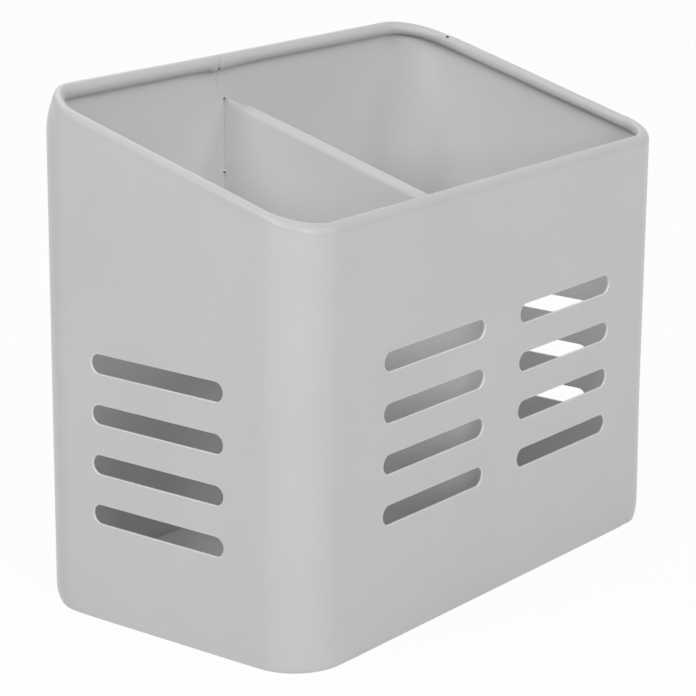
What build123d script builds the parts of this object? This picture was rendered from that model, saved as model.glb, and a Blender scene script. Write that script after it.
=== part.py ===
from build123d import *
from math import floor, sqrt
import os

os.makedirs("parts", exist_ok=True)

# Two-compartment cutlery drainer of painted sheet steel
# X runs along the wide front, Y from the front to the back, Z up
# The origin is the middle of the footprint, on the surface that the drainer stands on

# Wall band: plan, sheet, and the heights of the rim's crest at the front and at the back
body_width = 170.5
body_depth = 95.0
corner_radius = 14.5
sheet = 0.6
front_height = 118.3
back_height = 142.5

# Rolled bead along the top edge: it starts at the outer face and turns inward by this many degrees
bead_diameter = 4.0
bead_turn = 250.0

# Slots, all made by one punch; their heights are those of the lowest row's middle
slot_length = 45.5
slot_width = 5.4
slot_pitch = 14.0
slot_rows = 4
front_slot_height = 35.7
left_slot_height = 30.3
right_slot_height = 31.5
left_slot_y = 2.0
right_slot_y = 0.0

# The plain strip between the two front columns, which the divider's flange lies behind
land_width = 17.0
land_x = 1.9

# Seam of the band in the back wall, welded with a low crown on the inside
seam_x = -7.5
seam_gap = 0.4
seam_crown_width = 1.4
seam_crown = 0.25
seam_crown_margin = 1.5

# Base tray
floor_height = 4.5
tray_foot = 1.2
tray_inside_bend = 0.8
tray_corner_clearance = 0.4
drain_diameter = 6.0
drain_columns = 3
drain_rows = 3
drain_pitch_x = 20.0
drain_pitch_y = 15.0

# Divider: its crest lies this far below the rim's crest, all along the slope
divider_drop = 13.3
flange_width = 11.8
flange_inside_bend = 0.4
# The free top corner of each flange is cut off at 45 degrees
flange_chamfer = 10.0
divider_bead_diameter = 4.4
divider_bead_turn = 245.0
# The roll stops this far short of each wall, and a relief cut parts it from the flat end of the sheet
divider_flat_end = 2.6
relief_width = 0.6
relief_depth = 0.5

# Tack welds in the divider's creases
tack_radius = 0.7
tack_bite = 0.15
tack_pitch = 21.6
tack_top = 0.8

# Tack welds under the tray
base_tack_length = 6.0
base_tack_columns = 3
base_tack_pitch = 50.0

# Worked out from the sizes above
half_width = body_width / 2
half_depth = body_depth / 2
inner_x = half_width - sheet
inner_y = half_depth - sheet
inner_radius = corner_radius - sheet
bead_radius = bead_diameter / 2
path_x = half_width - bead_radius
path_y = half_depth - bead_radius
slope = (back_height - front_height) / (2 * path_y)
middle_height = (front_height + back_height) / 2
bead_level = middle_height - bead_radius
# Below this level over the origin the wall is plain; above it the sheet belongs to the slanted rim
rim_skirt = bead_diameter
cut_level = bead_level - rim_skirt
divider_left = land_x - flange_width / 2
divider_right = divider_left + sheet
flange_bend = flange_inside_bend + sheet
tray_bend = tray_inside_bend + sheet
through = 4 * sheet


def slanted(level):
    """A plane that rises from the front to the back like the rim, at this height over the origin."""
    return Plane(origin=(0, 0, level), x_dir=(1, 0, 0), z_dir=(0, -slope, 1))


def sheared(solid, level):
    """The solid with each point raised by the slope at its depth, and then by the level."""
    return solid.transform_geometry(Matrix([[1, 0, 0, 0], [0, 1, 0, 0], [0, slope, 1, level]]))


def edge_roll(radius, turn, skirt):
    """Closed outline of a rolled sheet edge: a straight skirt on the outer side, then the roll inward."""
    inside = radius - sheet
    with BuildSketch(Plane.XY) as outline:
        with BuildLine():
            outer = CenterArc((0, 0), radius, 0, turn)
            inner = CenterArc((0, 0), inside, 0, turn)
            Line(outer @ 1, inner @ 1)
            Polyline(outer @ 0, (radius, -skirt), (inside, -skirt), inner @ 0)
        make_face()
    return outline.sketch


# The rim before it is slanted, its bead's centre at height 0, from one side of the seam to the other
seam_right = seam_x + seam_gap / 2
seam_left = seam_x - seam_gap / 2
rim_profile = edge_roll(bead_radius, bead_turn, rim_skirt)
with BuildLine(Plane.XY) as bead_path:
    FilletPolyline(
        (seam_right, path_y),
        (path_x, path_y),
        (path_x, -path_y),
        (-path_x, -path_y),
        (-path_x, path_y),
        (seam_left, path_y),
        radius=corner_radius - bead_radius,
    )
with BuildPart() as level_rim:
    with BuildSketch(Plane(origin=(seam_right, path_y, 0), x_dir=(0, 1, 0), z_dir=(1, 0, 0))):
        add(rim_profile)
    sweep(path=bead_path.line)

# Wall band: one strip bent round to a rounded rectangle, its two ends a seam's gap apart
with BuildPart() as wall_band:
    with BuildSketch():
        RectangleRounded(body_width, body_depth, corner_radius)
        RectangleRounded(2 * inner_x, 2 * inner_y, inner_radius, mode=Mode.SUBTRACT)
        with Locations((seam_x, half_depth)):
            Rectangle(seam_gap, through, mode=Mode.SUBTRACT)
    extrude(amount=back_height)
    split(bisect_by=slanted(cut_level), keep=Keep.BOTTOM)
    add(sheared(level_rim.part, bead_level))
    # Front slots, one column on each side of the land
    front_column_x = (land_width + slot_length) / 2
    with BuildSketch(Plane(origin=(land_x, -half_depth, 0), x_dir=(1, 0, 0), z_dir=(0, -1, 0))):
        for row in range(slot_rows):
            row_height = front_slot_height + row * slot_pitch
            with Locations((-front_column_x, row_height), (front_column_x, row_height)):
                SlotOverall(slot_length, slot_width)
    extrude(amount=-through, mode=Mode.SUBTRACT)
    # Slots of the left and the right end
    for end, slot_y, slot_height in (
        (-1, left_slot_y, left_slot_height),
        (1, right_slot_y, right_slot_height),
    ):
        end_plane = Plane(origin=(end * half_width, slot_y, 0), x_dir=(0, 1, 0), z_dir=(1, 0, 0))
        with BuildSketch(end_plane):
            for row in range(slot_rows):
                with Locations((0, slot_height + row * slot_pitch)):
                    SlotOverall(slot_length, slot_width)
        extrude(amount=-end * through, mode=Mode.SUBTRACT)
wall_band.part.label = "wall_band"
export_step(wall_band.part, "parts/wall_band.step")

# Seam weld: it fills the gap between the two ends of the band, bead included
with BuildPart() as level_bead_weld:
    with BuildSketch(Plane(origin=(seam_left, path_y, 0), x_dir=(0, 1, 0), z_dir=(1, 0, 0))):
        add(rim_profile)
    extrude(amount=seam_gap)
crown_foot = floor_height + seam_crown_margin
crown_top = cut_level + slope * inner_y - seam_crown_margin
with BuildPart() as seam_weld:
    with BuildSketch():
        with Locations((seam_x, inner_y)):
            Rectangle(seam_gap, sheet, align=(Align.CENTER, Align.MIN))
    extrude(amount=back_height)
    split(bisect_by=slanted(cut_level), keep=Keep.BOTTOM)
    add(sheared(level_bead_weld.part, bead_level))
    with BuildSketch(Plane.XY.offset(crown_foot)):
        with BuildLine():
            crown_left = (seam_x - seam_crown_width / 2, inner_y)
            crown_right = (seam_x + seam_crown_width / 2, inner_y)
            ThreePointArc(crown_left, (seam_x, inner_y - seam_crown), crown_right)
            Line(crown_left, crown_right)
        make_face()
    extrude(amount=crown_top - crown_foot)
seam_weld.part.label = "seam_weld"
export_step(seam_weld.part, "parts/seam_weld.step")

# Base tray: a shallow pan upside down inside the wall, with drain holes under both compartments
with BuildPart() as base_tray:
    with BuildSketch(Plane.XY.offset(tray_foot)):
        RectangleRounded(2 * inner_x, 2 * inner_y, inner_radius + tray_corner_clearance)
    extrude(amount=floor_height - tray_foot)
    fillet(base_tray.faces().sort_by(Axis.Z)[-1].edges(), radius=tray_bend)
    offset(amount=-sheet, openings=base_tray.faces().sort_by(Axis.Z)[0])
    left_middle = (divider_left - inner_x) / 2
    right_middle = (divider_right + inner_x) / 2
    with Locations((left_middle, 0, floor_height), (right_middle, 0, floor_height)):
        with GridLocations(drain_pitch_x, drain_pitch_y, drain_columns, drain_rows):
            Hole(drain_diameter / 2, depth=through)
base_tray.part.label = "base_tray"
export_step(base_tray.part, "parts/base_tray.step")

# The divider's rolled edge before it is slanted, and what is cut for its end reliefs and off its flanges
divider_bead_radius = divider_bead_diameter / 2
divider_crest = middle_height - divider_drop
divider_roll_level = divider_crest - divider_bead_radius
notch_half = inner_y - divider_flat_end
roll_half = notch_half - relief_width
roll_start = (divider_left + divider_bead_radius, -roll_half, 0)
with BuildPart() as level_divider_roll:
    with BuildSketch(Plane(origin=roll_start, x_dir=(-1, 0, 0), z_dir=(0, 1, 0))):
        add(edge_roll(divider_bead_radius, divider_bead_turn, relief_depth))
    extrude(amount=2 * roll_half)
with BuildPart() as level_divider_notch:
    with BuildSketch(Plane.XY):
        with Locations((divider_left, 0)):
            Rectangle(through, 2 * notch_half)
    extrude(amount=relief_depth + divider_bead_diameter)
flange_end = divider_left + flange_width
with BuildPart() as level_flange_cut:
    with BuildSketch(Plane.XZ):
        with BuildLine():
            Polyline(
                (flange_end - flange_chamfer - sheet, sheet),
                (flange_end + sheet, sheet),
                (flange_end + sheet, -flange_chamfer - sheet),
                close=True,
            )
        make_face()
    extrude(amount=half_depth, both=True)

# Divider: a channel of sheet that stands on the tray, its flanges turned to the right along both walls
with BuildPart() as divider:
    with BuildSketch(Plane.XY.offset(floor_height)) as channel_outside:
        with Locations((divider_left, 0)):
            Rectangle(flange_width, 2 * inner_y, align=(Align.MIN, Align.CENTER))
        fillet(channel_outside.vertices().group_by(Axis.X)[0], radius=flange_bend)
    extrude(amount=back_height)
    with BuildSketch(Plane.XY.offset(floor_height)) as channel_inside:
        with Locations((divider_right, 0)):
            Rectangle(flange_width, 2 * (inner_y - sheet), align=(Align.MIN, Align.CENTER))
        fillet(channel_inside.vertices().group_by(Axis.X)[0], radius=flange_inside_bend)
    extrude(amount=back_height, mode=Mode.SUBTRACT)
    split(bisect_by=slanted(divider_crest), keep=Keep.BOTTOM)
    add(sheared(level_flange_cut.part, divider_crest), mode=Mode.SUBTRACT)
    add(sheared(level_divider_notch.part, divider_roll_level - relief_depth), mode=Mode.SUBTRACT)
    add(sheared(level_divider_roll.part, divider_roll_level))
divider.part.label = "divider"
export_step(divider.part, "parts/divider.step")

# Tack welds in the two creases between the divider's bends and the walls, from the crest down
# Each is a ball on the wall's face, far enough into the crease to bite the bend, less the divider
tack_reach = flange_bend + tack_radius - tack_bite
tack_x = divider_left + flange_bend - sqrt(tack_reach**2 - flange_bend**2)
with BuildPart() as divider_tacks:
    for wall_side in (-1, 1):
        top_tack = divider_crest + wall_side * slope * inner_y - tack_top
        tack_count = floor((top_tack - tack_radius - floor_height) / tack_pitch) + 1
        for number in range(tack_count):
            with Locations((tack_x, wall_side * inner_y, top_tack - number * tack_pitch)):
                Sphere(tack_radius)
    with BuildSketch(Plane.XY):
        Rectangle(2 * inner_x, 2 * inner_y)
    extrude(amount=back_height, mode=Mode.INTERSECT)
    add(divider.part, mode=Mode.SUBTRACT)
divider_tacks.part.label = "divider_tacks"
export_step(divider_tacks.part, "parts/divider_tacks.step")

# Tack welds under the turned-down edge of the tray, quarter rounds in the corner with the wall
with BuildSketch(Plane.XY) as base_tack_outline:
    with BuildLine():
        tack_arc = CenterArc((0, 0), sheet, 0, -90)
        Polyline(tack_arc @ 0, (0, 0), tack_arc @ 1)
    make_face()
first_tack_x = -base_tack_pitch * (base_tack_columns - 1) / 2
with BuildPart() as base_tacks:
    for side in (-1, 1):
        for number in range(base_tack_columns):
            wall_corner = (first_tack_x + number * base_tack_pitch, side * inner_y, tray_foot)
            with BuildSketch(Plane(origin=wall_corner, x_dir=(0, -side, 0), z_dir=(-side, 0, 0))):
                add(base_tack_outline.sketch)
            extrude(amount=base_tack_length / 2, both=True)
        end_corner = (side * inner_x, 0, tray_foot)
        with BuildSketch(Plane(origin=end_corner, x_dir=(-side, 0, 0), z_dir=(0, side, 0))):
            add(base_tack_outline.sketch)
        extrude(amount=base_tack_length / 2, both=True)
base_tacks.part.label = "base_tacks"
export_step(base_tacks.part, "parts/base_tacks.step")
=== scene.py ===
"""Looks of the cutlery drainer.

Painted sheet steel with soft punched edges, a rolled rim, welds and a pressed base. The wall's strip is laid out
flat, meshed round its slots, bent round the body and rolled at the top."""
import math

import bpy
from mathutils import Matrix, Vector, noise
from mathutils.geometry import delaunay_2d_cdt, tessellate_polygon


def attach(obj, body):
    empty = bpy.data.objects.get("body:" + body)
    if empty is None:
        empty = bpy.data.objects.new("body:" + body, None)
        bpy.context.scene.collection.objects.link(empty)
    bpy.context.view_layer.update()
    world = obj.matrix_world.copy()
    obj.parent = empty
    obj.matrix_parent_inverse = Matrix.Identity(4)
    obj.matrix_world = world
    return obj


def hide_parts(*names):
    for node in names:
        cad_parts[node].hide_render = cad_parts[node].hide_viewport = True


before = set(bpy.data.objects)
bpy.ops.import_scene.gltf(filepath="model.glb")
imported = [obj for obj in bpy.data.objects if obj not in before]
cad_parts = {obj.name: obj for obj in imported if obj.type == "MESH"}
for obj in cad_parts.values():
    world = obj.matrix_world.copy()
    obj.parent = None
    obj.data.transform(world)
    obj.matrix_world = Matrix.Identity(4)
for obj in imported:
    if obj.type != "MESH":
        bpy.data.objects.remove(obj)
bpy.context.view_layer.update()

# Lengths are in millimetres until a mesh is built. Turns of a roll are in degrees from its outermost point.
MM = 0.001
# A vector shorter than this has no direction
TINY = 1e-9

# Sizes of the CAD part
BODY_WIDTH, BODY_DEPTH, CORNER, SHEET = 170.5, 95.0, 14.5, 0.6
FRONT_HEIGHT, BACK_HEIGHT = 118.3, 142.5
BEAD, BEAD_TURN = 2.0, 250.0
SLOT_LENGTH, SLOT_WIDTH, SLOT_PITCH, SLOT_ROWS = 45.5, 5.4, 14.0, 4
LEFT_SLOT, RIGHT_SLOT, FRONT_SLOT = 30.3, 31.5, 35.7
LEFT_SLOT_Y, RIGHT_SLOT_Y = 2.0, 0.0
LAND_X, FRONT_COLUMN = 1.9, 31.25
SEAM_X, SEAM_GAP = -7.5, 0.4
FLOOR_HEIGHT = 4.5
DIVIDER_DROP, DIVIDER_X, FLANGE_WIDTH, FLANGE_CHAMFER = 13.3, -4.0, 11.8, 10.0
DIVIDER_BEAD, DIVIDER_TURN = 2.2, 245.0
TACK_PITCH, TACK_TOP, TACK_RADIUS = 21.6, 0.8, 0.7

# Sizes that follow from them
HALF_SHEET = SHEET / 2
SLOT_HALF = (SLOT_LENGTH - SLOT_WIDTH) / 2
PATH_X = BODY_WIDTH / 2 - BEAD
PATH_Y = BODY_DEPTH / 2 - BEAD
PATH_R = CORNER - BEAD
SLOPE = (BACK_HEIGHT - FRONT_HEIGHT) / (2 * PATH_Y)
BEAD_LEVEL = (FRONT_HEIGHT + BACK_HEIGHT) / 2 - BEAD
SKIRT = 2 * BEAD
INNER_Y = BODY_DEPTH / 2 - SHEET
DIVIDER_CREST = (FRONT_HEIGHT + BACK_HEIGHT) / 2 - DIVIDER_DROP

# Materials
# Noise of the coat: scale in waves a metre, detail and roughness
CLOUDS = (28.0, 3.0, 0.55)
SPECKLE = (2600.0, 1.0, 0.5)
GLOSS_PATCHES = (160.0, 2.0, 0.5)
ORANGE_PEEL = (620.0, 2.0, 0.45)
SWELL = (90.0, 1.0, 0.5)
# How much speckle is added to the clouds, and where their sum gives the dark and the light tone
SPECKLE_SHARE, TONE_DARK, TONE_LIGHT = 0.45, 0.45, 1.0
# How far the roughness falls and rises in patches
SMOOTHER, ROUGHER = 0.04, 0.05
# Bumps: strength, and height in metres
PEEL_BUMP, SWELL_BUMP = (0.6, 0.00002), (0.5, 0.00006)
PAINT_IOR = 1.42
# Near-black painted shade inside pits
PIT_SHADE_COLOUR = (0.035, 0.033, 0.03, 1.0)
# Values of the edge attribute for thinner paint and painted shade, and for the near-black painted shade of a pit
THIN_MARK, PIT_MARK = 1.0, 2.0


def new_material(name):
    """A material with an empty node tree."""
    material = bpy.data.materials.new(name)
    material.use_nodes = True
    tree = material.node_tree
    tree.nodes.clear()
    return material, tree


def node(tree, kind, inputs=None, **settings):
    """Adds a node with its settings and the values of its input sockets."""
    made = tree.nodes.new(kind)
    for key, value in settings.items():
        setattr(made, key, value)
    for key, value in (inputs or {}).items():
        made.inputs[key].default_value = value
    return made


def noise_field(tree, place, scale, detail, rough):
    """Noise from 0 to 1 at a place."""
    made = node(tree, "ShaderNodeTexNoise", {"Scale": scale, "Detail": detail, "Roughness": rough})
    tree.links.new(place, made.inputs["Vector"])
    return made.outputs["Fac"]


def mapped(tree, value, low, high, from_low=0.0, from_high=1.0):
    """A value brought from one range to another, and held inside it."""
    ends = {"From Min": from_low, "From Max": from_high, "To Min": low, "To Max": high}
    made = node(tree, "ShaderNodeMapRange", ends)
    tree.links.new(value, made.inputs["Value"])
    return made.outputs["Result"]


def colour_mix(tree, factor, first, second):
    """Colour between a first one, which may be another node's output, and a second one."""
    made = node(tree, "ShaderNodeMix", data_type="RGBA")
    tree.links.new(factor, made.inputs["Factor"])
    if isinstance(first, tuple):
        made.inputs["A"].default_value = first
    else:
        tree.links.new(first, made.inputs["A"])
    made.inputs["B"].default_value = second
    return made.outputs["Result"]


def bump(tree, height, strength, distance):
    """A bump node whose height is another node's output."""
    made = node(tree, "ShaderNodeBump", {"Strength": strength, "Distance": distance})
    tree.links.new(height, made.inputs["Height"])
    return made


def powder_coat(name, light, dark, roughness, thin_and_shade_share, darkening):
    """Semi-gloss powder coat with clouds, fine speckle and orange peel, darkened where the edge attribute says.

    Thinner paint on edges and painted shade take the colour the share thin_and_shade_share of the way to the dark
    tone times darkening, and pits go on to near-black painted shade."""
    material, tree = new_material(name)
    link = tree.links.new
    out = node(tree, "ShaderNodeOutputMaterial")
    shader = node(tree, "ShaderNodeBsdfPrincipled", {"IOR": PAINT_IOR})
    link(shader.outputs["BSDF"], out.inputs["Surface"])
    place = node(tree, "ShaderNodeTexCoord").outputs["Object"]
    edge = node(tree, "ShaderNodeAttribute", attribute_name="edge").outputs["Fac"]

    tone = node(tree, "ShaderNodeMath", {1: SPECKLE_SHARE}, operation="MULTIPLY_ADD")
    link(noise_field(tree, place, *SPECKLE), tone.inputs[0])
    link(noise_field(tree, place, *CLOUDS), tone.inputs[2])
    shade = mapped(tree, tone.outputs[0], 0.0, 1.0, TONE_DARK, TONE_LIGHT)
    paint = colour_mix(tree, shade, (*dark, 1.0), (*light, 1.0))
    # Darker where the paint is thinner on edges, and where shade is painted over the rolls' crowns and under the
    # rim; pits then go near-black as painted shade
    thin_and_shade_colour = (dark[0] * darkening, dark[1] * darkening, dark[2] * darkening, 1.0)
    thin_and_shaded = colour_mix(tree, mapped(tree, edge, 0.0, thin_and_shade_share), paint, thin_and_shade_colour)
    pit_shaded = colour_mix(tree, mapped(tree, edge, 0.0, 1.0, THIN_MARK, PIT_MARK), thin_and_shaded, PIT_SHADE_COLOUR)
    link(pit_shaded, shader.inputs["Base Color"])

    patches = noise_field(tree, place, *GLOSS_PATCHES)
    link(mapped(tree, patches, roughness - SMOOTHER, roughness + ROUGHER), shader.inputs["Roughness"])

    peel = bump(tree, noise_field(tree, place, *ORANGE_PEEL), *PEEL_BUMP)
    swell = bump(tree, noise_field(tree, place, *SWELL), *SWELL_BUMP)
    link(peel.outputs["Normal"], swell.inputs["Normal"])
    link(swell.outputs["Normal"], shader.inputs["Normal"])
    return material


coat = powder_coat(
    "coat", light=(0.586, 0.583, 0.576), dark=(0.558, 0.555, 0.548), roughness=0.30, thin_and_shade_share=0.35, darkening=0.80)
# The inside coat is a lighter copy of the outside one: painted light on the inner faces
coat_inside_painted_light = powder_coat(
    "coat_inside_painted_light", light=(0.711, 0.710, 0.713), dark=(0.683, 0.682, 0.685), roughness=0.40, thin_and_shade_share=0.90, darkening=0.75)
# The punched edges' coat is lighter still: a painted highlight along the slot edges
coat_edge_painted_highlight = powder_coat(
    "coat_edge_painted_highlight", light=(0.780, 0.776, 0.768), dark=(0.730, 0.726, 0.718), roughness=0.30, thin_and_shade_share=0.35, darkening=0.80)
# Their places in the wall's list of materials
OUTSIDE, INSIDE, PUNCHED = 0, 1, 2

# Every CAD node gets the lighter inside coat, painted light
for cad_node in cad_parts.values():
    cad_node.data.materials.clear()
    cad_node.data.materials.append(coat_inside_painted_light)

# Layout of the wall's strip
# S runs along the bead's centre line from the seam, clockwise seen from above, and Z is the height. A flat run is
# (kind, length, start, direction, outward), and a bend is (kind, length, corner, outward at its start, at its end).
CORNER_ARC = PATH_R * math.pi / 2
START = SEAM_X + SEAM_GAP / 2
END = SEAM_X - SEAM_GAP / 2
BACK_RIGHT, FRONT_RIGHT, FRONT_LEFT, BACK_LEFT = (1, 1), (1, -1), (-1, -1), (-1, 1)
RUNS = (
    ("flat", PATH_X - PATH_R - START, (START, PATH_Y), (1, 0), (0, 1)),
    ("bend", CORNER_ARC, BACK_RIGHT, (0, 1), (1, 0)),
    ("flat", 2 * (PATH_Y - PATH_R), (PATH_X, PATH_Y - PATH_R), (0, -1), (1, 0)),
    ("bend", CORNER_ARC, FRONT_RIGHT, (1, 0), (0, -1)),
    ("flat", 2 * (PATH_X - PATH_R), (PATH_X - PATH_R, -PATH_Y), (-1, 0), (0, -1)),
    ("bend", CORNER_ARC, FRONT_LEFT, (0, -1), (-1, 0)),
    ("flat", 2 * (PATH_Y - PATH_R), (-PATH_X, PATH_R - PATH_Y), (0, 1), (-1, 0)),
    ("bend", CORNER_ARC, BACK_LEFT, (-1, 0), (0, 1)),
    ("flat", END + PATH_X - PATH_R, (PATH_R - PATH_X, PATH_Y), (1, 0), (0, 1)),
)
BENDS = (1, 3, 5, 7)
RUN_START = [sum(run[1] for run in RUNS[:k]) for k in range(len(RUNS) + 1)]
RIGHT_START, RIGHT_END, FRONT_START, LEFT_START, LEFT_END = (RUN_START[k] for k in (2, 3, 4, 6, 7))
RIGHT_MIDDLE = RIGHT_START + (PATH_Y - PATH_R)
FRONT_MIDDLE = FRONT_START + (PATH_X - PATH_R)
TOTAL = RUN_START[-1]
MIDDLE_OF = {RUNS[k][2]: (RUN_START[k] + RUN_START[k + 1]) / 2 for k in BENDS}

# Shape of the bends
# How the bottom of each is tucked in: depth and height, then how far it reaches to each side and how it is eased
TUCK = {BACK_RIGHT: (0.8, 4.5), FRONT_RIGHT: (1.1, 6.0), FRONT_LEFT: (0.35, 1.6), BACK_LEFT: (1.3, 5.0)}
TUCK_REACH, TUCK_EASE = 8.5, 0.25
# How much tighter each is low down and all the way up, and the height and softness of the change
TIGHTER = {BACK_RIGHT: 0.0, FRONT_RIGHT: 1.6, FRONT_LEFT: 0.3, BACK_LEFT: 0.0}
TIGHT = {BACK_RIGHT: 0.0, FRONT_RIGHT: 0.5, FRONT_LEFT: 0.0, BACK_LEFT: 0.0}
LOW_LEVEL, LOW_FADE = 22, 9
# The back left one is drawn in at the top: how deep, how far to each side in full, how it fades along and down
DRAWN_DEPTH, DRAWN_FULL, DRAWN_LENGTH, DRAWN_TALL = 2.0, 2.0, 6.0, 5.0
# The share of that which the roll's inner side takes
DRAWN_INSIDE = 0.6

# Shape of the roll
# The neck under it: how far in from the face, and the height from the bead's centre
NECK = ((0.02, -3.2), (0.04, -2.4), (0.05, -1.7), (0.035, -1.0), (0.01, -0.4))
# An angle under this one is a turn past half a circle, and counts as 360 more
LEAST_TURN = -60
# At the seam the strip's ends are cut askew round the roll: how much, between which turns, over what length
SEAM_SKEW, SKEW_TURNS, SKEW_LENGTH = 2.5, (90, 200), 6.0
# The lip droops there: how much, between which turns, and by what share and over what length on each side
SEAM_DROOP, DROOP_TURNS = 0.85, (120, 220)
DROOP_RIGHT, DROOP_LEFT = (0.65, 9.0), (1.0, 4.0)
# The crest is a little flat along the back, and more and more along the right side toward the front
CREST_FLAT = 0.20
# Where that starts and ends, counted from the right side's start, and from the left side's end
FLAT_BACK, FLAT_RIGHT, FLAT_LEFT = (-4, 6), 10, 12
# Away from the back the roll is a little narrower inward than a full circle
ROLL_NARROWER = 0.18
# Where that and the wear change, counted from the right side's start and from the left side's end
BACK_TO_RIGHT, LEFT_TO_BACK = (1, 12), (-20, -4)
# Slow waves all round, and the line of the seam, each with its depth
WAVE_DEPTH, WAVE_RATE = 0.03, 0.045
LINE_DEPTH, LINE_WIDTH = 0.16, 0.35
# A nick in the right side's roll, and a chip in the paint beside it: depth, width, turn and spread of the turn
NICK_S = RIGHT_MIDDLE - 31.5
CHIP_S = NICK_S + 1.5
NICK_DEPTH, NICK_WIDTH, NICK_TURN, NICK_SPREAD = 0.42, 0.55, 43, 31
CHIP_DEPTH, CHIP_WIDTH, CHIP_TURN, CHIP_SPREAD = 0.15, 0.45, 120, 14
# On the roll's outer side the dents fade out below this height over the bead's centre
DENT_FADE = 0.8

# Marks on the roll's paint, painted shade among them
# Painted shade over the crown: how dark, where it starts on the outer side, and between which turns it ends away
# from the back
CROWN_SHADE, CROWN_START, CROWN_END = 0.9, (-1.2, 1.2), (125, 215)
# The turn at which the lighter inside coat, painted light, starts
PAINT_TURN = 125
# How worn the sheet's end along the lip is
LIP_WEAR = 0.6
# The seam's line, its pit near the lip painted near-black as shade, and the chip: strength, width, turn and spread
# of the turn
LINE_WEAR, LINE_MARK_WIDTH = 0.12, 0.3
SEAM_PIT, SEAM_PIT_WIDTH, SEAM_PIT_TURN, SEAM_PIT_SPREAD = 3.2, 0.6, 212, 17
CHIP_MARK, CHIP_MARK_WIDTH, CHIP_MARK_SPREAD = 4.5, 0.52, 15


def run_at(s):
    """The run that S is on, and how far along it."""
    for k in range(len(RUNS)):
        if s <= RUN_START[k + 1] or k == len(RUNS) - 1:
            return RUNS[k], s - RUN_START[k]


def plan(s):
    """Point of the bead's centre line, outward direction, and bend (None on a flat run)."""
    (kind, length, spot, first, second), t = run_at(s)
    if kind == "flat":
        return Vector((spot[0] + first[0] * t, spot[1] + first[1] * t)), Vector(second), None
    turn = t / length * math.pi / 2
    out = math.cos(turn) * Vector(first) + math.sin(turn) * Vector(second)
    middle = Vector((spot[0] * (PATH_X - PATH_R), spot[1] * (PATH_Y - PATH_R)))
    return middle + out * PATH_R, out, spot


def step_up(value, low, high):
    """Smooth rise from 0 to 1 between two values."""
    t = min(1.0, max(0.0, (value - low) / (high - low)))
    return t * t * (3 - 2 * t)


def bell(away, width, turned=0.0, spread=1.0):
    """1 in the middle, and smoothly down to 0 over about a width. Turned and spread are a second direction."""
    return math.exp(-((away / width) ** 2) - ((turned / spread) ** 2))


def drawn_in(s, below):
    """Shift of the back left corner, which is drawn in along the top. Below counts down from the rim's crest."""
    away = max(0.0, abs(s - MIDDLE_OF[BACK_LEFT]) - DRAWN_FULL)
    depth = DRAWN_DEPTH * bell(away, DRAWN_LENGTH, below, DRAWN_TALL)
    return Vector((depth, -depth)) * math.sqrt(0.5)


def tightened(bend, out, z):
    """Shift of a point of a bend that makes the bend tighter."""
    if not bend:
        return Vector((0, 0))
    low = 1 / (1 + math.exp((z - LOW_LEVEL) / LOW_FADE))
    return (TIGHTER[bend] * low + TIGHT[bend]) * (Vector(bend) - out)


def wall_point(s, z, depth):
    """Point of the wall, depth millimetres under its outer face."""
    place, out, bend = plan(s)
    point = place + out * (BEAD - depth) + drawn_in(s, BEAD_LEVEL + SLOPE * place.y + BEAD - z)
    point += tightened(bend, out, z)
    corner = min(MIDDLE_OF, key=lambda c: abs(s - MIDDLE_OF[c]))
    deep, tall = TUCK[corner]
    if z < tall:
        # Pull runs from 0 at the top of the tuck to a half at the bottom
        pull = 1 - math.sqrt(max(0.0, 1 - ((tall - z) / tall) ** 2) * (1 - TUCK_EASE) + TUCK_EASE)
        point -= out * deep * 2 * pull * bell(s - MIDDLE_OF[corner], TUCK_REACH)
    return Vector((point.x, point.y, z))


def cross_normal(place, s, t, flip):
    """Unit normal of a surface given as a function of two numbers."""
    step = 0.02
    a = place(s + step, t) - place(s - step, t)
    b = place(s, t + step) - place(s, t - step)
    normal = a.cross(b)
    normal.normalize()
    return normal * flip


def face_normal(s, outer):
    """Unit vector square to the wall's outer or inner face."""
    out = plan(s)[1]
    return Vector((out.x, out.y, 0)) * (1 if outer else -1)


def off_the_back(s):
    """0 along the back and its two bends, 1 along the other three sides."""
    right = step_up(s, *(RIGHT_START + d for d in BACK_TO_RIGHT))
    return right * (1 - step_up(s, *(LEFT_END + d for d in LEFT_TO_BACK)))


def flatness(s):
    """How flat the roll's crest is, from 0 to 1."""
    flat = 1 - step_up(s, *(RIGHT_START + d for d in FLAT_BACK))
    flat += step_up(s, RIGHT_START + FLAT_RIGHT, RIGHT_END) * (1 - step_up(s, RIGHT_END, FRONT_START))
    flat += step_up(s, LEFT_END + FLAT_LEFT, TOTAL)
    return flat


def dent(s, angle, near):
    """Depth of the roll's waves, seam line, nick and chip. Near is the distance from the seam's middle."""
    depth = WAVE_DEPTH * (1 + noise.noise(Vector((s * WAVE_RATE, 3.1, 0.0))))
    depth += LINE_DEPTH * bell(near, LINE_WIDTH)
    depth += NICK_DEPTH * bell(s - NICK_S, NICK_WIDTH, angle - NICK_TURN, NICK_SPREAD)
    depth += CHIP_DEPTH * bell(s - CHIP_S, CHIP_WIDTH, angle - CHIP_TURN, CHIP_SPREAD)
    return depth


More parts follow.
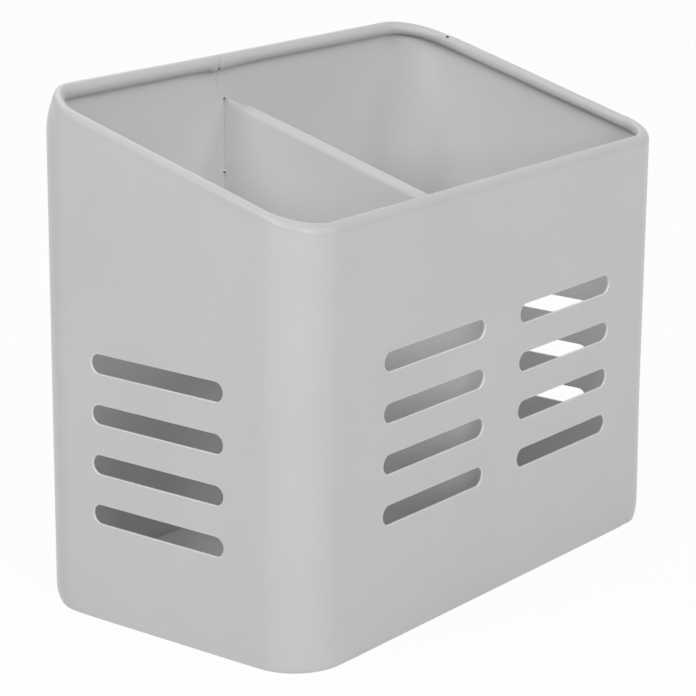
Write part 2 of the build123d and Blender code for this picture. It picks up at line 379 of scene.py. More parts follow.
def rim_point(s, spot):
    """Point of the rolled rim, where spot is (outward, up) from the bead's centre before the rim is slanted."""
    u, v = spot
    away = math.hypot(u, v)
    angle = math.degrees(math.atan2(v, u))
    right_of_seam = s < TOTAL / 2
    near = abs(s + SEAM_GAP / 2) if right_of_seam else abs(TOTAL + SEAM_GAP / 2 - s)
    skewed = s
    if v >= 0 or u < BEAD - 2 * SHEET:
        turn = angle if angle > LEAST_TURN else angle + 360
        skewed = s - SEAM_SKEW * step_up(turn, *SKEW_TURNS) * bell(near, SKEW_LENGTH)
        depth = dent(s, angle, near)
        fade = min(1.0, max(0.0, v / DENT_FADE)) if u > 0 else 1.0
        u, v = u * (1 - depth * fade / away), v * (1 - depth * fade / away)
        share, length = DROOP_RIGHT if right_of_seam else DROOP_LEFT
        v -= SEAM_DROOP * share * step_up(turn, *DROOP_TURNS) * bell(near, length)
        if v > 0:
            v *= 1 - CREST_FLAT * flatness(s)
        if u < 0:
            u *= 1 - ROLL_NARROWER * off_the_back(s)
    place, out, bend = plan(skewed)
    point = place + out * u
    level = BEAD_LEVEL + SLOPE * point.y + v
    point += tightened(bend, out, level)
    outer_share = (1 - DRAWN_INSIDE) * step_up(u, -BEAD, BEAD)
    point += drawn_in(skewed, BEAD - v) * (DRAWN_INSIDE + outer_share)
    return Vector((point.x, point.y, level))


def rim_mark(s, spot):
    """Painted shade over the roll's crown, thinner paint along the seam, a near-black painted shade in the pit near
    the lip, and the chip.
    """
    near = min(abs(s + SEAM_GAP / 2), abs(TOTAL + SEAM_GAP / 2 - s))
    angle = math.degrees(math.atan2(spot[1], spot[0])) % 360
    if angle >= BEAD_TURN:
        return 0.0
    if spot[0] > 0:
        crown = CROWN_SHADE * step_up(spot[1], *CROWN_START)
    else:
        crown = CROWN_SHADE * (1 - off_the_back(s) * step_up(angle, *CROWN_END))
    line = crown + LINE_WEAR * bell(near, LINE_MARK_WIDTH)
    pit = SEAM_PIT * bell(near, SEAM_PIT_WIDTH, angle - SEAM_PIT_TURN, SEAM_PIT_SPREAD)
    chip = CHIP_MARK * bell(s - CHIP_S, CHIP_MARK_WIDTH, angle - CHIP_TURN, CHIP_MARK_SPREAD)
    return max(line, pit, chip)


class Skin:
    """A mesh under construction, with a chosen normal and an edge mark for every vertex."""

    def __init__(self):
        self.points, self.normals, self.marks, self.faces, self.paints = [], [], [], [], []

    def add(self, point, normal, mark=0.0):
        """Adds a vertex and gives its number."""
        self.points.append(point)
        self.normals.append(normal)
        self.marks.append(mark)
        return len(self.points) - 1

    def face(self, ids, paint=OUTSIDE):
        """Adds a face. Paint is the place of its material in the list."""
        self.faces.append(tuple(ids))
        self.paints.append(paint)

    def strip(self, a, b, closed=False, flip=False, paint=OUTSIDE):
        """Quads between two rows of vertices."""
        count = len(a)
        for k in range(count if closed else count - 1):
            m = (k + 1) % count
            face = (a[k], a[m], b[m], b[k])
            self.face(face[::-1] if flip else face, paint)

    def build(self, name, *materials):
        """Makes the object, in metres."""
        mesh = bpy.data.meshes.new(name)
        mesh.from_pydata([p * MM for p in self.points], [], self.faces)
        mesh.polygons.foreach_set("use_smooth", [True] * len(mesh.polygons))
        mark = mesh.attributes.new("edge", "FLOAT", "POINT")
        mark.data.foreach_set("value", self.marks)
        for material in materials:
            mesh.materials.append(material)
        mesh.polygons.foreach_set("material_index", self.paints)
        mesh.normals_split_custom_set_from_vertices([n.normalized() for n in self.normals])
        made = bpy.data.objects.new(name, mesh)
        bpy.context.scene.collection.objects.link(made)
        return made


def dress(piece, cad_name):
    """Puts a piece in the place of its CAD node."""
    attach(piece, "root")
    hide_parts(cad_name)


# Grid of the strip
# Columns: distances from the seam, from the ends of the bends, from the nick and from the chip
SEAM_COLUMNS = (0.0, 0.12, 0.28, 0.5, 0.9, 1.6, 2.5, 4.0, 5.5, 7.5, 10.0, 14.0)
BEND_COLUMNS = (1.2, 2.6, 4.2, 6.2, 9.0, 12.5)
NICK_COLUMNS = (-2.0, -1.3, -0.9, -0.6, -0.3, 0.0, 0.3, 0.6)
CHIP_COLUMNS = (-0.6, -0.4, -0.2, 0.0, 0.2, 0.4, 0.6, 1.2)
BEND_STEP, FLAT_STEP, LEAST_STEP = CORNER_ARC / 18, 8.0, 0.05
# Rows: fine on the bends and coarse on the flats, both with even steps higher up
FINE_ROWS = [0.4, 0.8, 1.3, 1.9, 2.6, 3.4, 4.3, 5.3, 6.5, 9.0, 13.0, 18.0, 23.0, 28.0, 34.0, 42.0]
FINE_ROWS += [50.0 + 8 * k for k in range(12)]
COARSE_ROWS = [2.6, 5.3, 13.0] + [18.0 + 8 * k for k in range(16)]
# Rows counted down from the top, the band that they take up, and how near to a bend's middle they are used
TOP_ROWS, TOP_BAND, TOP_REACH = (12.0, 9.0, 6.5, 4.4, 2.6, 1.2), 14, 24
# Room that the rows leave under the top and round a slot, and the least step between a flat's filled columns
TOP_ROOM, SLOT_ROOM, FILLED_STEP = 1.0, 1.6, 3
# A column this near to a bend counts as on it
BESIDE = 0.01
# Rounding of the punched edges outside and inside, and of the strip's bottom edge
EDGE_OUT, EDGE_IN, EDGE_LOW = 0.18, 0.10, 0.16
# The steps round these edges: (angle, rounding, whether on the outer face), and (angle, whether on it)
SLOT_EDGE = (
    (60, EDGE_OUT, True), (30, EDGE_OUT, True), (0, EDGE_OUT, True), (0, EDGE_IN, False), (45, EDGE_IN, False))
LOW_EDGE = ((60, True), (30, True), (0, True), (0, False), (30, False), (60, False))
# Steps of a slot's round end and of its straight side, and the ring of vertices that is kept round it
END_STEPS, SIDE_STEPS, SLOT_RING = 10, 6, 1.1
# Meshing: only what is inside the links, points nearer than this are one, slack for what is in a slot
INSIDE_ONLY, SAME_POINT, SLOT_SLACK = 1, 1e-6, 0.02
# Distances along the strip over which its direction is measured, at a slot and at the rim
ALONG_SLOT, ALONG_RIM = 0.01, 0.03


def spread(low, high, step):
    """Even places from low to high, at most a step apart."""
    count = max(1, math.ceil((high - low) / step))
    return [low + (high - low) * k / count for k in range(count + 1)]


def strip_columns():
    """Every S with a column: dense round the bends, at the seam and at the nick."""
    found = []
    for d in SEAM_COLUMNS:
        found += [d, TOTAL - d]
    for k, run in enumerate(RUNS):
        low = max(RUN_START[k], SEAM_COLUMNS[-1])
        high = min(RUN_START[k + 1], TOTAL - SEAM_COLUMNS[-1])
        found += spread(low, high, BEND_STEP if run[0] == "bend" else FLAT_STEP)
    for k in BENDS:
        for d in BEND_COLUMNS:
            found += [RUN_START[k] - d, RUN_START[k + 1] + d]
    found += [NICK_S + d for d in NICK_COLUMNS]
    found += [CHIP_S + d for d in CHIP_COLUMNS]
    found.sort()
    return [s for k, s in enumerate(found) if k == 0 or s - found[k - 1] > LEAST_STEP]


columns = strip_columns()

# Slots as (middle S, middle Z)
slots = []
for row in range(SLOT_ROWS):
    rise = row * SLOT_PITCH
    slots.append((RIGHT_MIDDLE - RIGHT_SLOT_Y, RIGHT_SLOT + rise))
    slots.append((LEFT_START + LEFT_SLOT_Y + (PATH_Y - PATH_R), LEFT_SLOT + rise))
    for sign in (-1, 1):
        slots.append((FRONT_MIDDLE - (LAND_X + sign * FRONT_COLUMN), FRONT_SLOT + rise))


def slot_outline(offset):
    """Closed outline of a slot grown by offset, as ((s, z), sideways direction) about the slot's middle."""
    radius = SLOT_WIDTH / 2 + offset
    loop = []
    for sign in (1, -1):
        for k in range(END_STEPS + 1):
            a = -math.pi / 2 + math.pi * k / END_STEPS
            away = Vector((sign * math.cos(a), sign * math.sin(a)))
            loop.append((Vector((sign * SLOT_HALF, 0)) + away * radius, away))
        for k in range(1, SIDE_STEPS):
            along = sign * SLOT_HALF * (1 - 2 * k / SIDE_STEPS)
            loop.append((Vector((along, sign * radius)), Vector((0, sign))))
    return loop


def in_slot(s, z, offset):
    """Whether a point of the strip is inside a slot grown by offset."""
    for middle_s, middle_z in slots:
        beyond = max(0.0, abs(s - middle_s) - SLOT_HALF)
        if math.hypot(beyond, z - middle_z) < SLOT_WIDTH / 2 + offset:
            return True
    return False


def skirt_level(s, depth):
    """Height at which the wall's face ends and the rim's skirt starts."""
    place, out, _ = plan(s)
    return BEAD_LEVEL + SLOPE * (place + out * (BEAD - depth)).y - SKIRT


def at_bend(k):
    """Whether a column is on a bend or next to one."""
    if plan(columns[k])[2] is not None:
        return True
    if not 0 < k < len(columns) - 1:
        return False
    return bool(plan(columns[k - 1] + BESIDE)[2] or plan(columns[k + 1] - BESIDE)[2])


def row_heights(s, top, bend):
    """Heights of a column's vertices between its ends."""
    heights = FINE_ROWS if bend else COARSE_ROWS
    if min(abs(s - middle) for middle in MIDDLE_OF.values()) < TOP_REACH:
        heights = [z for z in heights if z < top - TOP_BAND] + [top - d for d in TOP_ROWS]
    return [z for z in heights if z <= top - TOP_ROOM and not in_slot(s, z, SLOT_ROOM)]


def wall_side(skin, outer):
    """One face of the wall up to the rim's skirt. Gives its bottom row, top row, slot loops and two end columns."""
    depth = 0.0 if outer else SHEET
    edge = EDGE_OUT if outer else EDGE_IN

    def place(s, z):
        return wall_point(s, z, depth)

    # The face laid out flat: its points, and the links between them that the mesh has to keep
    count = len(columns)
    flat = [(s, EDGE_LOW) for s in columns] + [(s, skirt_level(s, depth)) for s in columns]
    bottom, top = range(count), range(count, 2 * count)
    links = list(zip(bottom, bottom[1:])) + list(zip(top, top[1:]))
    ends = []
    last = columns[0]
    for k, s in enumerate(columns):
        bend, end = at_bend(k), k in (0, count - 1)
        if not bend and not end and s - last < FILLED_STEP:
            continue
        last = s
        chain = [bottom[k]]
        for z in row_heights(s, flat[top[k]][1], bend):
            flat.append((s, z))
            chain.append(len(flat) - 1)
        chain.append(top[k])
        if bend or end:
            links += list(zip(chain, chain[1:]))
        if end:
            ends.append(chain)
    loops = []
    for middle_s, middle_z in slots:
        for offset in (SLOT_RING, edge):
            outline = slot_outline(offset)
            ring = range(len(flat), len(flat) + len(outline))
            flat += [(middle_s + spot.x, middle_z + spot.y) for spot, _ in outline]
            links += [(ring[i], ring[(i + 1) % len(ring)]) for i in range(len(ring))]
        loops.append(ring)

    # The mesh of that, without the slots, bent round the body
    made = delaunay_2d_cdt([Vector(p) for p in flat], links, [], INSIDE_ONLY, SAME_POINT)
    spots, faces, origin = made[0], made[2], made[3]
    kept = {old: k for k, source in enumerate(origin) for old in source}
    number = {}
    for face in faces:
        s = sum(spots[v].x for v in face) / len(face)
        z = sum(spots[v].y for v in face) / len(face)
        if in_slot(s, z, edge - SLOT_SLACK):
            continue
        for v in face:
            if v not in number:
                at = spots[v]
                normal = cross_normal(place, at.x, at.y, -1 if outer else 1)
                number[v] = skin.add(place(at.x, at.y), normal)
        ids = [number[v] for v in face]
        area = (spots[face[1]] - spots[face[0]]).cross(spots[face[2]] - spots[face[0]])
        skin.face(ids if (area > 0) != outer else ids[::-1], OUTSIDE if outer else INSIDE)

    def pick(ids):
        return [number[kept[i]] for i in ids]

    return pick(bottom), pick(top), [pick(loop) for loop in loops], [pick(chain) for chain in ends]


def rounded(edge, a):
    """How far an edge's rounding is from the cut face, and how deep under the flat face, at an angle."""
    return edge * (1 - math.cos(a)), edge * (1 - math.sin(a))


# The wall
wall = Skin()
bottom_out, top_out, loops_out, ends_out = wall_side(wall, True)
bottom_in, top_in, loops_in, ends_in = wall_side(wall, False)

# Slot edges: drawn in softly from outside, a small break inside, and the sheet's thickness between them, all in the
# lighter punched-edge coat, a painted highlight
for (middle_s, middle_z), loop_out, loop_in in zip(slots, loops_out, loops_in):
    rings = [loop_out]
    for angle, edge, outer in SLOT_EDGE:
        a = math.radians(angle)
        sideways, sunk = rounded(edge, a)
        ring = []
        for spot, away in slot_outline(sideways):
            s, z = middle_s + spot.x, middle_z + spot.y
            along = wall_point(s + ALONG_SLOT, z, 0) - wall_point(s - ALONG_SLOT, z, 0)
            along.normalize()
            toward = -(along * away.x + Vector((0, 0, away.y)))
            normal = toward * math.cos(a) + face_normal(s, outer) * math.sin(a)
            ring.append(wall.add(wall_point(s, z, sunk if outer else SHEET - sunk), normal))
        rings.append(ring)
    rings.append(loop_in)
    for a, b in zip(rings, rings[1:]):
        wall.strip(a, b, closed=True, flip=True, paint=PUNCHED)

# Bottom edge of the strip
low_rows = [bottom_out]
for angle, outer in LOW_EDGE:
    a = math.radians(angle)
    height, sunk = rounded(EDGE_LOW, a)
    row = []
    for s in columns:
        normal = face_normal(s, outer) * math.sin(a) - Vector((0, 0, math.cos(a)))
        row.append(wall.add(wall_point(s, height, sunk if outer else SHEET - sunk), normal, THIN_MARK))
    low_rows.append(row)
low_rows.append(bottom_in)
for a, b in zip(low_rows, low_rows[1:]):
    wall.strip(a, b)

# Rolled rim: up the outer face, round, over the sheet's end and back along the inner side
ROLL_STEPS, TIP_STEPS, UNDER_STEPS = 30, 6, 24
FIRST_OF_ROLL = 1 + len(NECK)
FIRST_OF_LIP = FIRST_OF_ROLL + ROLL_STEPS + 1


def on_circle(radius, a):
    """Point of a circle round the origin, at an angle from the first axis."""
    return radius * math.cos(a), radius * math.sin(a)


def rim_profile():
    """The rim's section as (outward, up) from the bead's centre, from the outer skirt to the inner one."""
    roll = math.radians(BEAD_TURN) - math.asin(HALF_SHEET / (BEAD - HALF_SHEET))
    section = [(BEAD, -SKIRT)] + [(BEAD - sunk, level) for sunk, level in NECK]
    section += [on_circle(BEAD, roll * k / ROLL_STEPS) for k in range(ROLL_STEPS + 1)]
    for k in range(1, TIP_STEPS):
        beyond, along = on_circle(HALF_SHEET, math.pi * k / TIP_STEPS)
        radial = BEAD - HALF_SHEET + beyond
        u = radial * math.cos(roll) - along * math.sin(roll)
        v = radial * math.sin(roll) + along * math.cos(roll)
        section.append((u, v))
    section += [on_circle(BEAD - SHEET, roll * k / UNDER_STEPS) for k in range(UNDER_STEPS, -1, -1)]
    return section + [(BEAD - SHEET, -SKIRT / 2), (BEAD - SHEET, -SKIRT)]


profile = rim_profile()
rim_rows = [top_out]
for k in range(1, len(profile) - 1):
    row = []
    for s in columns:
        inside = min(max(s, ALONG_RIM), TOTAL - ALONG_RIM)
        across = rim_point(s, profile[k + 1]) - rim_point(s, profile[k - 1])
        along = rim_point(inside + ALONG_RIM, profile[k]) - rim_point(inside - ALONG_RIM, profile[k])
        normal = across.cross(along)
        normal.normalize()
        # Along the back the row just under the roll on the inner face is darkened: a painted shadow under the roll
        if k == len(profile) - 2:
            mark = 1 - off_the_back(s)
        elif FIRST_OF_LIP <= k < FIRST_OF_LIP + TIP_STEPS - 1:
            mark = LIP_WEAR
        else:
            mark = rim_mark(s, profile[k])
        row.append(wall.add(rim_point(s, profile[k]), normal, mark))
    rim_rows.append(row)
rim_rows.append(top_in)
# From that turn round the roll's inner side, and down the inner skirt, the faces take the lighter inside coat,
# painted light
first_inside = FIRST_OF_ROLL + round(ROLL_STEPS * PAINT_TURN / BEAD_TURN)
first_of_skirt = len(profile) - 3
for k in range(len(rim_rows) - 1):
    within = first_inside <= k < FIRST_OF_LIP or k >= first_of_skirt
    wall.strip(rim_rows[k], rim_rows[k + 1], flip=True, paint=INSIDE if within else OUTSIDE)

# The strip's two cut ends, closed between the faces
for last in (False, True):
    side = -1 if last else 0
    loop = ends_out[last][:-1] + [row[side] for row in rim_rows] + ends_in[last][-2::-1]
    loop += [row[side] for row in low_rows[-2:0:-1]]
    flat_loop = [Vector((wall.points[k].y, wall.points[k].z, 0)) for k in loop]
    cut = Vector((1, 0, 0)) if last else Vector((-1, 0, 0))
    ids = [wall.add(wall.points[k], cut, THIN_MARK) for k in loop]
    for tri in tessellate_polygon([flat_loop]):
        a, b, c = (flat_loop[i] for i in tri)
        turned = (b - a).cross(c - a).z > 0
        order = tri if turned == (not last) else tri[::-1]
        wall.face([ids[i] for i in order])

dress(wall.build("wall", coat, coat_inside_painted_light, coat_edge_painted_highlight), "wall_band")


def sweep_loops(skin, loops, marks):
    """A closed tube through loops of points, with flat ends. Its normals come from the neighbours on the grid."""
    rows = []
    count, size = len(loops), len(loops[0])
    for i, loop in enumerate(loops):
        before, after = loops[max(0, i - 1)], loops[min(count - 1, i + 1)]
        row = []
        for k, spot in enumerate(loop):
            normal = (after[k] - before[k]).cross(loop[(k + 1) % size] - loop[k - 1])
            if normal.length < TINY:
                normal = Vector((0, 0, 1))
            row.append(skin.add(spot, normal.normalized(), marks[i][k]))
        rows.append(row)
    for a, b in zip(rows, rows[1:]):
        skin.strip(a, b, closed=True, flip=True)
    first_way, last_way = -(loops[1][0] - loops[0][0]), loops[-1][0] - loops[-2][0]
    first = [skin.add(spot, first_way.normalized(), THIN_MARK) for spot in loops[0]]
    skin.face(first[::-1])
    last = [skin.add(spot, last_way.normalized(), THIN_MARK) for spot in loops[-1]]
    skin.face(last)


# Divider
# Outer and inner radius of the sharp bends at its two ends, and the steps round them
BEND_OUT, BEND_IN, BEND_STEPS = 0.15, 0.25, 6
# The crest sinks by this much a millimetre from the back to the front, and leans by up to this much
DIVIDER_DIP, LEAN, LEAN_RATE = 0.005, 0.08, 0.03
# Rounding of the foot and of the flange's free edge
FOOT_SOFT, FLANGE_SOFT = 0.12, 0.15
# Points of the foot's rounding, and steps up the face
FOOT_POINTS, FACE_STEPS = 3, 10
# The flat sheet's edge: its rounding stops just short of a right angle, and the share of a half sheet on top
EDGE_TURN, EDGE_TOP = math.radians(88), 0.03
# Distances from the flange's free edge, and from the wall's inner face, that have a section
FLANGE_STATIONS = (0, 0.03, 0.08, 0.15, 0.5, 1.2, 2.2, 3.4, 4.8, 6.4, 8.0, 9.0, 9.6, 10.0, 10.4, 10.8)
SHEET_STATIONS = (
    0.9, 1.2, 1.6, 2.0, 2.4, 2.8, 3.2, 3.6, 4.0, 4.4, 4.8,
    5.3, 5.8, 6.4, 7.2, 9.0, 13.0, 18.0, 24.0, 30.0, 36.0, 42.0)
# Between these distances from the wall the roll grows out of the flat sheet
ROLL_GROWS = (0.9, 7.5)
# Points of the section's loop: where the roll starts, where its painted shade grows, and where its inner side
# starts
DIVIDER_ROLL = FOOT_POINTS + FACE_STEPS - 1
SHADE_GROWS = (DIVIDER_ROLL - 2, DIVIDER_ROLL + 7)
DIVIDER_UNDER = DIVIDER_ROLL + ROLL_STEPS + TIP_STEPS


def flat_edge(f):
    """Half of the flat sheet's edge, as (into the sheet, up from its top): up the face, then round to the top."""
    if f < 0.5:
        return 0, -DIVIDER_BEAD + (DIVIDER_BEAD - HALF_SHEET) * 2 * f
    b = EDGE_TURN * (2 * f - 1)
    return HALF_SHEET - HALF_SHEET * math.cos(b), -HALF_SHEET + HALF_SHEET * math.sin(b)


def divider_loop(rolled, top, squeeze):
    """Closed section of the divider as (into the sheet, height), from a flat edge (0) to a full roll (1)."""
    turn = math.radians(DIVIDER_TURN)
    face = top - DIVIDER_BEAD - FLOOR_HEIGHT

    def foot(a):
        return FOOT_SOFT * (1 - math.sin(a)), FLOOR_HEIGHT + FOOT_SOFT * (1 - math.cos(a))

    def on_roll(radius, a):
        return DIVIDER_BEAD - radius * math.cos(a), -DIVIDER_BEAD + radius * math.sin(a)

    def blend(flat, roll):
        x, z = (flat[i] * (1 - rolled) + roll[i] * rolled for i in (0, 1))
        return x, top + z

    loop = [foot(a) for a in (0, math.pi / 4, math.pi / 2)]
    loop += [(0, FLOOR_HEIGHT + face * k / FACE_STEPS) for k in range(1, FACE_STEPS)]
    for k in range(ROLL_STEPS + 1):
        loop.append(blend(flat_edge(k / ROLL_STEPS), on_roll(DIVIDER_BEAD, turn * k / ROLL_STEPS)))
    half_tip = TIP_STEPS / 2
    for k in range(1, TIP_STEPS):
        beyond, along = on_circle(HALF_SHEET, math.pi * k / TIP_STEPS)
        x, z = on_roll(DIVIDER_BEAD - HALF_SHEET + beyond, turn)
        tip = (x + along * math.sin(turn), z + along * math.cos(turn))
        loop.append(blend((HALF_SHEET + HALF_SHEET * EDGE_TOP * (k - half_tip) / half_tip, 0), tip))
    for k in range(UNDER_STEPS, -1, -1):
        x, z = flat_edge(k / UNDER_STEPS)
        loop.append(blend((SHEET - x, z), on_roll(DIVIDER_BEAD - SHEET, turn * k / UNDER_STEPS)))
    loop += [(SHEET, FLOOR_HEIGHT + face * k / FACE_STEPS) for k in range(FACE_STEPS - 1, 0, -1)]
    loop += [(SHEET - x, z) for x, z in (foot(a) for a in (math.pi / 2, math.pi / 4, 0))]
    return [(HALF_SHEET + (x - HALF_SHEET) * (1 - squeeze), z) for x, z in loop]


def divider_stations():
    """Half of the divider's plan from a flange's free edge to the middle: (x, y, across, roll, drop, squeeze).

    Across is the way through the sheet, its length in sheet thicknesses."""
    stations = []
    free_x = DIVIDER_X + FLANGE_WIDTH
    for e in FLANGE_STATIONS:
        squeeze = (FLANGE_SOFT - math.sqrt(FLANGE_SOFT ** 2 - max(0.0, FLANGE_SOFT - e) ** 2)) / HALF_SHEET
        drop = max(0.0, FLANGE_CHAMFER - e)
        stations.append((free_x - e, INNER_Y, (0, -1), 0.0, drop, squeeze))
    wider = BEND_IN - BEND_OUT
    for k in range(BEND_STEPS + 1):
        a = math.pi / 2 * k / BEND_STEPS
        from_x, from_y = 1 - math.sin(a), 1 - math.cos(a)
        across = ((SHEET + wider * from_x) / SHEET, -(SHEET + wider * from_y) / SHEET)
        stations.append((DIVIDER_X + BEND_OUT * from_x, INNER_Y - BEND_OUT * from_y, across, 0.0, 0.0, 0.0))
    for d in SHEET_STATIONS:
        stations.append((DIVIDER_X, INNER_Y - d, (1, 0), step_up(d, *ROLL_GROWS), 0.0, 0.0))
    return stations


def divider_mark(k, count, rolled, squeeze):
    """Thin paint along the foot and the flange's free edge, and painted shade over the roll's crown."""
    if k < FOOT_POINTS - 1 or k > count - FOOT_POINTS:
        return THIN_MARK
    darkening = CROWN_SHADE * rolled * step_up(k, *SHADE_GROWS) if k < DIVIDER_UNDER else 0.0
    return max(THIN_MARK if squeeze > 0 else 0.0, darkening)


half_plan = divider_stations()
whole_plan = half_plan + [(x, -y, (n[0], -n[1]), r, d, q) for x, y, n, r, d, q in reversed(half_plan)]
loops, marks = [], []
for x, y, across, rolled, drop, squeeze in whole_plan:
    section = divider_loop(rolled, DIVIDER_CREST + SLOPE * y - drop - DIVIDER_DIP * (INNER_Y - y), squeeze)
    lean = LEAN * noise.noise(Vector((y * LEAN_RATE, 7.7, 0))) * rolled
    loop = [Vector((x + across[0] * u + lean * z / BACK_HEIGHT, y + across[1] * u, z)) for u, z in section]
    loops.append(loop)
    marks.append([divider_mark(k, len(section), rolled, squeeze) for k in range(len(section))])
divider = Skin()
sweep_loops(divider, loops, marks)
dress(divider.build("divider_sheet", coat_inside_painted_light), "divider")

# Tack welds in the creases, on the line where the bend leaves the wall
# Each is a small nugget whose crater is painted near-black as shade: radius and height in tack radii, and mark
NUGGET = (
    (0.95, -0.30, 0), (0.92, -0.05, 0), (0.82, 0.22, 0), (0.70, 0.38, 0), (0.58, 0.46, 0),
    (0.48, 0.44, 0.6), (0.42, 0.34, 1.8), (0.34, 0.18, 2.0), (0.18, 0.10, 2.0))
NUGGET_STEPS = 20
# How far out of the crease its middle is, how much taller than wide it is, how its size and outline vary
TACK_OUT, TACK_TALLER, SIZE_VARIES, OUTLINE_VARIES = 0.3, 1.1, 0.22, 0.10


def tack_loops(side, z):
    """Loops of a tack in the crease at the back (side 1) or the front (side -1)."""
    size = TACK_RADIUS * (1.0 + SIZE_VARIES * noise.noise(Vector((z, side, 0.5))))
    origin = Vector((DIVIDER_X - TACK_OUT, side * (INNER_Y - TACK_OUT), z + TACK_OUT))
    facing = Vector((-1, -side, 0)).normalized()
    upward = Vector((0, 0, 1))
    sideways = upward.cross(facing)
    found = []
    for radius, height, _ in NUGGET:
        loop = []
        for k in range(NUGGET_STEPS):
            a = 2 * math.pi * k / NUGGET_STEPS
            varied = 1 + OUTLINE_VARIES * noise.noise(Vector((math.cos(a), math.sin(a), z + radius)))
            reach = radius * size * varied
            spot = origin + upward * math.cos(a) * reach * TACK_TALLER + sideways * math.sin(a) * reach
            spot += facing * height * size
            spot.x = min(spot.x, DIVIDER_X + HALF_SHEET)
            spot.y = side * min(abs(spot.y), INNER_Y + HALF_SHEET)
            loop.append(spot)
        found.append(loop)
    return found


tacks = Skin()
nugget_marks = [[mark] * NUGGET_STEPS for _, _, mark in NUGGET]
for crease in (-1, 1):
    highest = DIVIDER_CREST + crease * SLOPE * INNER_Y - TACK_TOP
    for k in range(int((highest - TACK_RADIUS - FLOOR_HEIGHT) / TACK_PITCH) + 1):
        sweep_loops(tacks, tack_loops(crease, highest - k * TACK_PITCH), nugget_marks)
dress(tacks.build("crease_tacks", coat_inside_painted_light), "divider_tacks")

# Seam weld: it fills the gap flush, follows the roll round to its lip, and stands a little proud on the inside
ACROSS = (-0.2, -0.1, 0.0, 0.1, 0.2)
WELD_HEIGHTS = (0.16, 0.5, 1.5, 3.0) + tuple(6.0 + 6.5 * k for k in range(20)) + (133.5,)
# Outside it is sunk a little, with a groove along its middle: depth, width, and how much and fast it varies
WELD_SUNK, GROOVE_DEPTH, GROOVE_WIDTH, GROOVE_VARIES, GROOVE_RATE = 0.03, 0.05, 0.12, 0.5, 1.7
# The crown inside: its ends, the length over which it runs out, steps along and half the steps across
CROWN_LOW, CROWN_HIGH, CROWN_TAPER, CROWN_STEPS, CROWN_HALF = 6.0, 131.0, 4, 160, 4
# Its height and half width, each with how much and how fast it varies, and how deep it goes into the wall
CROWN_RISE, RISE_VARIES, RISE_RATE = 0.022, 0.014, 1.3
CROWN_WIDE, WIDE_VARIES, WIDE_RATE = 0.55, 0.08, 0.8
CROWN_ROOT = 0.03


def flat_weld(q, z, outer):
    """Point of the weld between the strip's ends, q millimetres from its middle."""
    varied = 1 + GROOVE_VARIES * noise.noise(Vector((z * GROOVE_RATE, 0, 2.0)))
    sunk = WELD_SUNK + GROOVE_DEPTH * bell(q, GROOVE_WIDTH) * varied
    return wall_point(q - SEAM_GAP / 2, z, sunk if outer else SHEET)


def rolled_weld(q, spot, outer):
    """Point of the weld on the roll, where spot is on the rim's outer face."""
    u, v = spot
    if not outer and (v > 0 or u < 0):
        shrink = (BEAD - SHEET) / BEAD
        u, v = u * shrink, v * shrink
    elif not outer:
        u -= SHEET
    return rim_point(q - SEAM_GAP / 2, (u, v))


both_sides = [(q, True) for q in ACROSS] + [(q, False) for q in ACROSS[::-1]]
weld = Skin()
loops, marks = [], []
for z in WELD_HEIGHTS:
    loops.append([flat_weld(q, z, outer) for q, outer in both_sides])
    marks.append([THIN_MARK if outer else 0.0 for q, outer in both_sides])
for spot in profile[1:FIRST_OF_LIP]:
    loops.append([rolled_weld(q, spot, outer) for q, outer in both_sides])
    marks.append([rim_mark(-SEAM_GAP / 2, spot)] * len(both_sides))
sweep_loops(weld, loops, marks)
loops, marks = [], []
for k in range(CROWN_STEPS + 1):
    z = CROWN_LOW + (CROWN_HIGH - CROWN_LOW) * k / CROWN_STEPS
    ends = min(1.0, (z - CROWN_LOW) / CROWN_TAPER, (CROWN_HIGH - z) / CROWN_TAPER) ** 0.5
    ripple = CROWN_RISE + RISE_VARIES * noise.noise(Vector((0, z * RISE_RATE, 4.0)))
    wide = CROWN_WIDE + WIDE_VARIES * noise.noise(Vector((3.0, z * WIDE_RATE, 0)))
    loop = []
    for m in range(-CROWN_HALF, CROWN_HALF + 1):
        q = wide * -m / CROWN_HALF
        rise = ripple * ends * (1 - (q / wide) ** 2)
        sunk = CROWN_ROOT - (rise + CROWN_ROOT) * (abs(m) < CROWN_HALF)
        loop.append(Vector((SEAM_X + q, INNER_Y + sunk, z)))
    loops.append(loop[::-1])
    marks.append([0.0] * len(loop))
sweep_loops(weld, loops, marks)
dress(weld.build("seam_fill", coat_inside_painted_light), "seam_weld")

# Camera
# The focal length and the picture's centre are in pixels of its 696
PHOTO_SIZE, SENSOR = 696, 36.0
AZIMUTH, ELEVATION, TILT = math.radians(-52.667), math.radians(15.905), math.radians(0.513)
FOCAL, CENTRE_X, CENTRE_Y = 2654.519, 353.132, 353.023
ASIDE, LOOK_HEIGHT, DISTANCE = -2.051, 60.507, 756.271

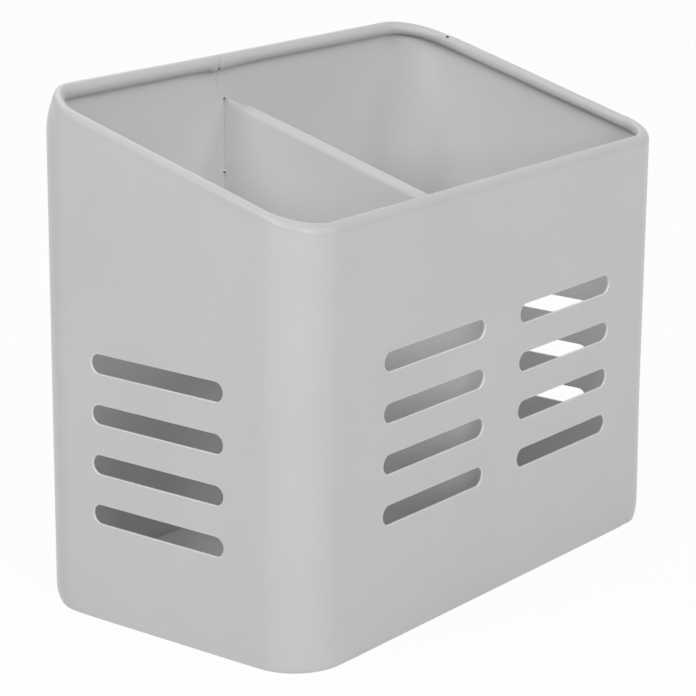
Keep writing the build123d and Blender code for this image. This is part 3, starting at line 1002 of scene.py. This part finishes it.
level = math.cos(ELEVATION)
back = Vector((math.sin(AZIMUTH) * level, -math.cos(AZIMUTH) * level, math.sin(ELEVATION)))
side = Vector((math.cos(AZIMUTH), math.sin(AZIMUTH), 0.0))
over = back.cross(side)
right = math.cos(TILT) * side + math.sin(TILT) * over
up = -math.sin(TILT) * side + math.cos(TILT) * over
eye = side * ASIDE * MM + Vector((0, 0, LOOK_HEIGHT * MM)) + back * DISTANCE * MM
lens = bpy.data.cameras.new("camera")
lens.sensor_width = SENSOR
lens.lens = FOCAL * SENSOR / PHOTO_SIZE
lens.shift_x = (PHOTO_SIZE / 2 - CENTRE_X) / PHOTO_SIZE
lens.shift_y = (CENTRE_Y - PHOTO_SIZE / 2) / PHOTO_SIZE
lens.clip_start, lens.clip_end = 0.01, 20.0
camera = bpy.data.objects.new("camera", lens)
camera.matrix_world = Matrix((
    (right.x, up.x, back.x, eye.x),
    (right.y, up.y, back.y, eye.y),
    (right.z, up.z, back.z, eye.z),
    (0, 0, 0, 1),
))
bpy.context.scene.collection.objects.link(camera)
bpy.context.scene.camera = camera

# Light
# Square lamps as (name, azimuth, elevation, distance, size, power), in degrees, metres and watts. Azimuth 0 is in
# front of the object, and negative to its left.
LAMPS = (
    ("left", -104, 48, 2.0, 0.7, 11.3),
    ("low_left", -78, 28, 2.0, 0.6, 8.0),
    ("front", -22, 18, 2.0, 0.5, 9.7),
    ("high_front", -20, 35, 2.0, 0.7, 3.7),
    ("right", 30, 35, 2.0, 0.8, 5.9),
    ("rear", 150, 45, 2.0, 1.6, 10.5),
    ("top", -60, 82, 1.8, 1.2, 3.7),
)
# The height at which they are aimed
AIM_HEIGHT = 0.06
# The world's strength as light on the object
AMBIENT = 0.12
# Floor: radius in metres, sides, grey, and how much white covers it in the camera's view
FLOOR_RADIUS, FLOOR_SIDES, FLOOR_GREY, FLOOR_WHITE = 6, 64, (0.82, 0.82, 0.82, 1), 0.95


def softbox(name, azimuth, elevation, distance, size, power):
    """A square lamp aimed at the object."""
    a, e = math.radians(azimuth), math.radians(elevation)
    toward = Vector((math.sin(a) * math.cos(e), -math.cos(a) * math.cos(e), math.sin(e)))
    data = bpy.data.lights.new(name, "AREA")
    data.size = size
    data.energy = power
    lamp = bpy.data.objects.new(name, data)
    lamp.location = toward * distance + Vector((0, 0, AIM_HEIGHT))
    lamp.rotation_mode = "QUATERNION"
    lamp.rotation_quaternion = toward.to_track_quat("Z", "Y")
    bpy.context.scene.collection.objects.link(lamp)


def background_rays(tree):
    """1 for the rays that show the background (camera, glossy and transmission), 0 for the others."""
    rays = node(tree, "ShaderNodeLightPath")
    shown = rays.outputs["Is Camera Ray"]
    for name in ("Is Glossy Ray", "Is Transmission Ray"):
        either = node(tree, "ShaderNodeMath", operation="MAXIMUM")
        tree.links.new(shown, either.inputs[0])
        tree.links.new(rays.outputs[name], either.inputs[1])
        shown = either.outputs[0]
    return shown


for lamp in LAMPS:
    softbox(*lamp)

world = bpy.data.worlds.new("studio")
bpy.context.scene.world = world
world.use_nodes = True
tree = world.node_tree
tree.nodes.clear()
sky = node(tree, "ShaderNodeBackground", {"Color": (1, 1, 1, 1)})
tree.links.new(mapped(tree, background_rays(tree), AMBIENT, 1.0), sky.inputs["Strength"])
world_out = node(tree, "ShaderNodeOutputWorld")
tree.links.new(sky.outputs["Background"], world_out.inputs["Surface"])

# Floor: pale, white to the camera, with the object's shadow kept faint
floor_mesh = bpy.data.meshes.new("floor")
angles = [k * math.pi / (FLOOR_SIDES / 2) for k in range(FLOOR_SIDES)]
floor_mesh.from_pydata([(*on_circle(FLOOR_RADIUS, a), 0.0) for a in angles], [], [list(range(FLOOR_SIDES))])
floor = bpy.data.objects.new("floor", floor_mesh)
bpy.context.scene.collection.objects.link(floor)
floor_paint, tree = new_material("floor_paint")
matt = node(tree, "ShaderNodeBsdfDiffuse", {"Color": FLOOR_GREY})
glow = node(tree, "ShaderNodeEmission", {"Strength": 1.0})
shown = node(tree, "ShaderNodeMixShader")
tree.links.new(mapped(tree, background_rays(tree), 0.0, FLOOR_WHITE), shown.inputs[0])
tree.links.new(matt.outputs[0], shown.inputs[1])
tree.links.new(glow.outputs[0], shown.inputs[2])
floor_out = node(tree, "ShaderNodeOutputMaterial")
tree.links.new(shown.outputs[0], floor_out.inputs["Surface"])
floor_mesh.materials.append(floor_paint)

bpy.context.scene.view_settings.view_transform = "Standard"
